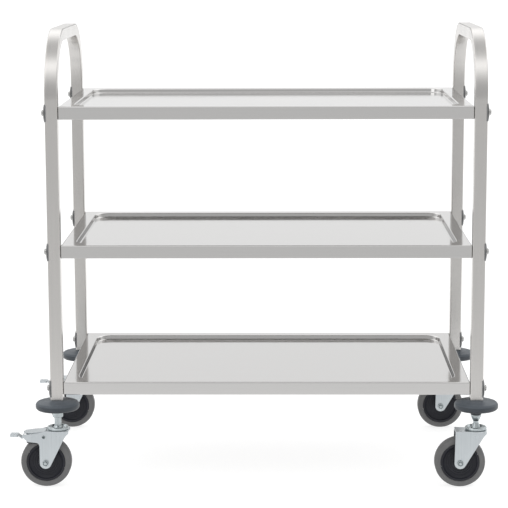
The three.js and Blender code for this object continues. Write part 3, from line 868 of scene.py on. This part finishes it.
# ---- assembly ----
def add_frames_and_trays():
    low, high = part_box("end_frame_left")
    foot = low[2] / MM
    half_depth = (high[1] - low[1]) / 2 / MM
    tray_low, tray_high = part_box("tray_bottom")
    heights = [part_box(f"tray_{level}")[0][2] / MM + TRAY_HEIGHT / 2 for level in LEVELS]
    tube = end_frame_mesh(half_depth, high[2] / MM, foot, heights)
    for side in SIDES:
        x = centre_of(f"end_frame_{side}").x
        piece(f"tube_frame_{side}", tube, FRAME_STEEL, "trolley_frame",
              [f"end_frame_{side}"], (x, 0, 0))
    half_x, half_y = ((tray_high[i] - tray_low[i]) / 2 / MM for i in (0, 1))
    sheet = tray_mesh(half_x, half_y, half_depth - TUBE / 2)
    for level in LEVELS:
        low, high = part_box(f"tray_{level}")
        piece(f"pressed_tray_{level}", sheet, TRAY_STEEL, "trolley_frame",
              [f"tray_{level}"], ((low[0] + high[0]) / 2, 0, low[2]))


def add_fastenings():
    bolt, dish, saddle = bolt_mesh(), dish_mesh(), saddle_mesh()
    for side, sign in SIDES.items():
        leg_x = centre_of(f"end_frame_{side}").x
        turn = 0 if sign > 0 else math.pi
        for end in ENDS:
            for level in LEVELS:
                spot = f"{end}_{side}_{level}"
                at = centre_of(f"bolt_{spot}")
                at.x = leg_x
                piece(f"tray_bolt_{spot}", bolt, FASTENER_STEEL, "trolley_frame",
                      [f"bolt_{spot}"], at, turn)
                piece(f"dished_washer_{spot}", dish, FASTENER_STEEL, "trolley_frame",
                      [f"saddle_washer_{spot}"], at, turn)
                piece(f"saddle_pad_{spot}", saddle, PAD_RUBBER, "trolley_frame",
                      [f"saddle_washer_{spot}"], at, turn)


def add_caster(corner, braked, shapes):
    swivel = centre_of(f"caster_stem_{corner}")
    at = Vector((swivel.x, swivel.y, 0))
    axle = centre_of(f"tyre_{corner}")
    axle.z = WHEEL_RADIUS * MM
    kind = "braked" if braked else "plain"
    frame_body = "trolley_frame"
    swivel_body = f"caster_swivel_{corner}"
    wheel_body = f"wheel_{corner}"
    brake_body = f"brake_{corner}"
    piece(f"corner_bumper_{corner}", shapes[f"bumper_{kind}"], BUMPER_RUBBER,
          frame_body, [f"bumper_{corner}"], at)
    # the stem and its race dish take the darker zinc, with its painted shade
    piece(f"stem_and_race_{corner}", shapes[f"stem_{kind}"], DARK_ZINC_PAINTED_SHADE,
          frame_body, [f"caster_stem_{corner}"], at)
    piece(f"pressed_fork_{corner}", shapes[f"fork_{kind}"], ZINC,
          swivel_body, [f"fork_{corner}"], at)
    piece(f"axle_{corner}", shapes["axle"], DARK_ZINC_PAINTED_SHADE,
          swivel_body, [f"axle_bolt_{corner}"], axle)
    piece(f"wheel_centre_{corner}", shapes["hub"], HUB_PLASTIC,
          wheel_body, [f"wheel_hub_{corner}"], axle)
    piece(f"wheel_tyre_{corner}", shapes["tyre"], TYRE_RUBBER,
          wheel_body, [f"tyre_{corner}"], axle)
    if braked:
        piece(f"brake_lever_{corner}", shapes["pedal"], ZINC,
              brake_body, [f"brake_pedal_{corner}"], at)
        piece(f"brake_pad_{corner}", shapes["shoe"], BLACK_RUBBER,
              brake_body, [f"brake_shoe_{corner}"], at)
        piece(f"lever_pin_{corner}", shapes["pin"], DARK_ZINC_PAINTED_SHADE,
              swivel_body, [f"brake_pin_{corner}"], at)


def add_casters():
    brake_hole = (*PEDAL_PIVOT, BRAKE_PIN_RADIUS)
    shapes = {
        "axle": axle_mesh(), "hub": hub_mesh(), "tyre": tyre_mesh(),
        "pedal": pedal_mesh(), "shoe": shoe_mesh(), "pin": brake_pin_mesh(),
        "fork_plain": fork_mesh(plain_side(), PLAIN_REAR, PLAIN_TRAIL, []),
        "fork_braked": fork_mesh(brake_side(), BRAKED_REAR, BRAKE_TRAIL, [brake_hole]),
    }
    for kind in STEMS:
        shapes[f"bumper_{kind}"] = bumper_mesh(kind)
        shapes[f"stem_{kind}"] = stem_mesh(kind)
    for side in SIDES:
        for end in ENDS:
            add_caster(f"{end}_{side}", side == BRAKED, shapes)


# ---- studio ----
FLOOR_REACH = 70  # metres each way
FLOOR_DROP = 0.0002  # the floor lies this far under the tyres
FLOOR_TONES = (0.35, 0.37)
FLOOR_NOISE_SCALE = 3.0
FLOOR_ROUGHNESS = 0.9
FLOOR_SPECULAR = 0.1
FLOOR_GLOW = 0.76  # the floor's own light, which keeps it pale under the trolley
FLOOR_GLOW_FRONT = 0.31
FLOOR_BRIGHT_FROM = -0.40  # metres along Y: towards the front the floor gets dimmer from here
FLOOR_DIM_FROM = -3.6  # to here, by the fourth power of the way


def grey(level):
    return (level, level, level)


def add_floor():
    """A pale matt floor whose own light is brightest under and behind the trolley."""
    mesh = bpy.data.meshes.new("floor")
    corners = [(x * FLOOR_REACH, y * FLOOR_REACH, 0) for x, y in ((-1, -1), (1, -1), (1, 1), (-1, 1))]
    mesh.from_pydata(corners, [], [(0, 1, 2, 3)])
    floor = bpy.data.objects.new("studio_floor", mesh)
    floor.location.z = -FLOOR_DROP
    bpy.context.collection.objects.link(floor)
    material, nodes, links = new_material("pale_floor")
    shader = nodes["Principled BSDF"]
    place = coordinates(nodes, links, "object", (1, 1, 1))
    tone = noise(nodes, links, place, FLOOR_NOISE_SCALE)
    colour = blended(nodes, links, tone, *(grey(level) for level in FLOOR_TONES))
    links.new(colour, shader.inputs["Base Color"])
    shader.inputs["Roughness"].default_value = FLOOR_ROUGHNESS
    shader.inputs["Specular IOR Level"].default_value = FLOOR_SPECULAR
    split = nodes.new("ShaderNodeSeparateXYZ")
    links.new(place, split.inputs["Vector"])
    depth = mapped(nodes, links, split.outputs["Y"], (FLOOR_DIM_FROM, FLOOR_BRIGHT_FROM))
    square = calculated(nodes, links, "MULTIPLY", depth, depth)
    share = calculated(nodes, links, "MULTIPLY", square, square)
    glow = blended(nodes, links, share, grey(FLOOR_GLOW_FRONT), grey(FLOOR_GLOW))
    links.new(glow, shader.inputs["Emission Color"])
    shader.inputs["Emission Strength"].default_value = 1.0
    mesh.materials.append(material)


# The sky's brightness by elevation: each stop is (degrees above the horizon, brightness).
SKY_STRENGTH = 1.9
FRONT_SKY = [
    (-90, 0.5), (0, 0.52), (8, 0.55), (14, 0.56), (24, 0.6), (34, 0.85), (43, 1.15), (50, 1.5),
    (57, 1.62), (64, 1.3), (71, 0.88), (80, 0.7), (90, 0.66)]
REAR_SKY = [
    (-90, 0.5), (0, 0.95), (15, 0.93), (28, 1.35), (39, 1.65), (52, 1.5), (61, 1.12), (70, 0.8),
    (80, 0.68), (90, 0.66)]
REAR_BLEND = (-0.3, 0.1)  # the front sky turns to the rear sky between these shares along Y

# The white backdrop behind the trolley ends at its sides, where the room is darker: how dark it is by
# the share of the direction along X, and by its height, of which 0.5 is level and 1 is straight up.
ROOM_SIDES = [(0.13, 0), (0.17, 1), (0.45, 1), (0.62, 0)]
ROOM_HEIGHT = [(0.5, 1), (0.58, 1), (0.65, 0), (1, 0)]
ROOM_SHADE = 0.08


def level_ramp(nodes, links, value, stops):
    """A grey ramp from pairs of position and level, both from 0 to 1."""
    ramp = nodes.new("ShaderNodeValToRGB")
    marks = ramp.color_ramp.elements
    for mark, (spot, level) in zip((marks[0], marks[1]), (stops[0], stops[-1])):
        mark.position = spot
        mark.color = (*grey(level), 1)
    for spot, level in stops[1:-1]:
        marks.new(spot).color = (*grey(level), 1)
    links.new(value, ramp.inputs["Fac"])
    return ramp.outputs["Color"]


def sky_ramp(nodes, links, height, stops):
    """A ramp over the height of the direction from the stops of a sky."""
    spots = [(math.sin(math.radians(elevation)) + 1) / 2 for elevation, _ in stops]
    levels = [level / SKY_STRENGTH for _, level in stops]
    return level_ramp(nodes, links, height, list(zip(spots, levels)))


def add_sky():
    """A white studio with a soft light bank in front of the trolley and one high behind it."""
    world = bpy.data.worlds.new("studio")
    bpy.context.scene.world = world
    world.use_nodes = True
    nodes, links = world.node_tree.nodes, world.node_tree.links
    direction = nodes.new("ShaderNodeTexCoord")
    split = nodes.new("ShaderNodeSeparateXYZ")
    links.new(direction.outputs["Generated"], split.inputs["Vector"])
    height = mapped(nodes, links, split.outputs["Z"], (-1, 1))
    behind = mapped(nodes, links, split.outputs["Y"], REAR_BLEND)
    front_sky = sky_ramp(nodes, links, height, FRONT_SKY)
    rear_sky = sky_ramp(nodes, links, height, REAR_SKY)
    sky = blended(nodes, links, behind, front_sky, rear_sky)
    aside = calculated(nodes, links, "ABSOLUTE", split.outputs["X"])
    sides = level_ramp(nodes, links, aside, ROOM_SIDES)
    low = level_ramp(nodes, links, height, ROOM_HEIGHT)
    room = calculated(nodes, links, "MULTIPLY", calculated(nodes, links, "MULTIPLY", sides, low), behind)
    background = nodes["Background"]
    background.inputs["Strength"].default_value = SKY_STRENGTH
    links.new(blended(nodes, links, room, sky, grey(ROOM_SHADE)), background.inputs["Color"])


# The light and the camera, with places in metres.
LAMP_PLACE = Vector((-2.6, -2.2, 2.6))
LAMP_AIM = Vector((0, 0, 0.45))
LAMP_SIZE = 2.0
LAMP_WATTS = 12


def add_soft_light():
    """A square soft light from the front left."""
    light = bpy.data.lights.new("soft_left", "AREA")
    light.shape = "SQUARE"
    light.size = LAMP_SIZE
    light.energy = LAMP_WATTS
    lamp = bpy.data.objects.new("soft_left", light)
    lamp.location = LAMP_PLACE
    lamp.rotation_mode = "QUATERNION"
    lamp.rotation_quaternion = (LAMP_AIM - LAMP_PLACE).to_track_quat("-Z", "Y")
    bpy.context.collection.objects.link(lamp)


CAMERA_LENS = 132.55
CAMERA_SENSOR = 36
CAMERA_REACH = 200
CAMERA_FROM_MIDDLE = 0.0294  # to the right of the trays' middle
CAMERA_DEPTH = -3.8302
CAMERA_HEIGHT = 1.0607
CAMERA_ANGLES = (-9.380, 0.846, -0.191)  # pitch, yaw and roll in degrees


def add_camera():
    """The viewing point: above the handles, a little right of the middle, looking down at the trays."""
    camera = bpy.data.cameras.new("camera")
    camera.sensor_width = CAMERA_SENSOR
    camera.lens = CAMERA_LENS
    camera.clip_end = CAMERA_REACH
    eye = bpy.data.objects.new("camera", camera)
    bpy.context.collection.objects.link(eye)
    pitch, yaw, roll = (math.radians(angle) for angle in CAMERA_ANGLES)
    ahead = Vector((-math.sin(yaw), math.cos(yaw), 0))
    forward = ahead * math.cos(pitch) + Vector((0, 0, math.sin(pitch)))
    right = Vector((math.cos(yaw), math.sin(yaw), 0))
    up = right.cross(forward)
    turned_right = right * math.cos(roll) + up * math.sin(roll)
    turned_up = up * math.cos(roll) - right * math.sin(roll)
    turn = Matrix((turned_right, turned_up, -forward)).transposed()
    middle = centre_of("tray_middle").x
    place = Vector((middle + CAMERA_FROM_MIDDLE, CAMERA_DEPTH, CAMERA_HEIGHT))
    eye.matrix_world = Matrix.Translation(place) @ turn.to_4x4()
    bpy.context.scene.camera = eye


def set_plain_colours():
    view = bpy.context.scene.view_settings
    view.view_transform = "Standard"
    view.look = "None"


add_frames_and_trays()
add_fastenings()
add_casters()
add_floor()
add_sky()
add_soft_light()
add_camera()
set_plain_colours()
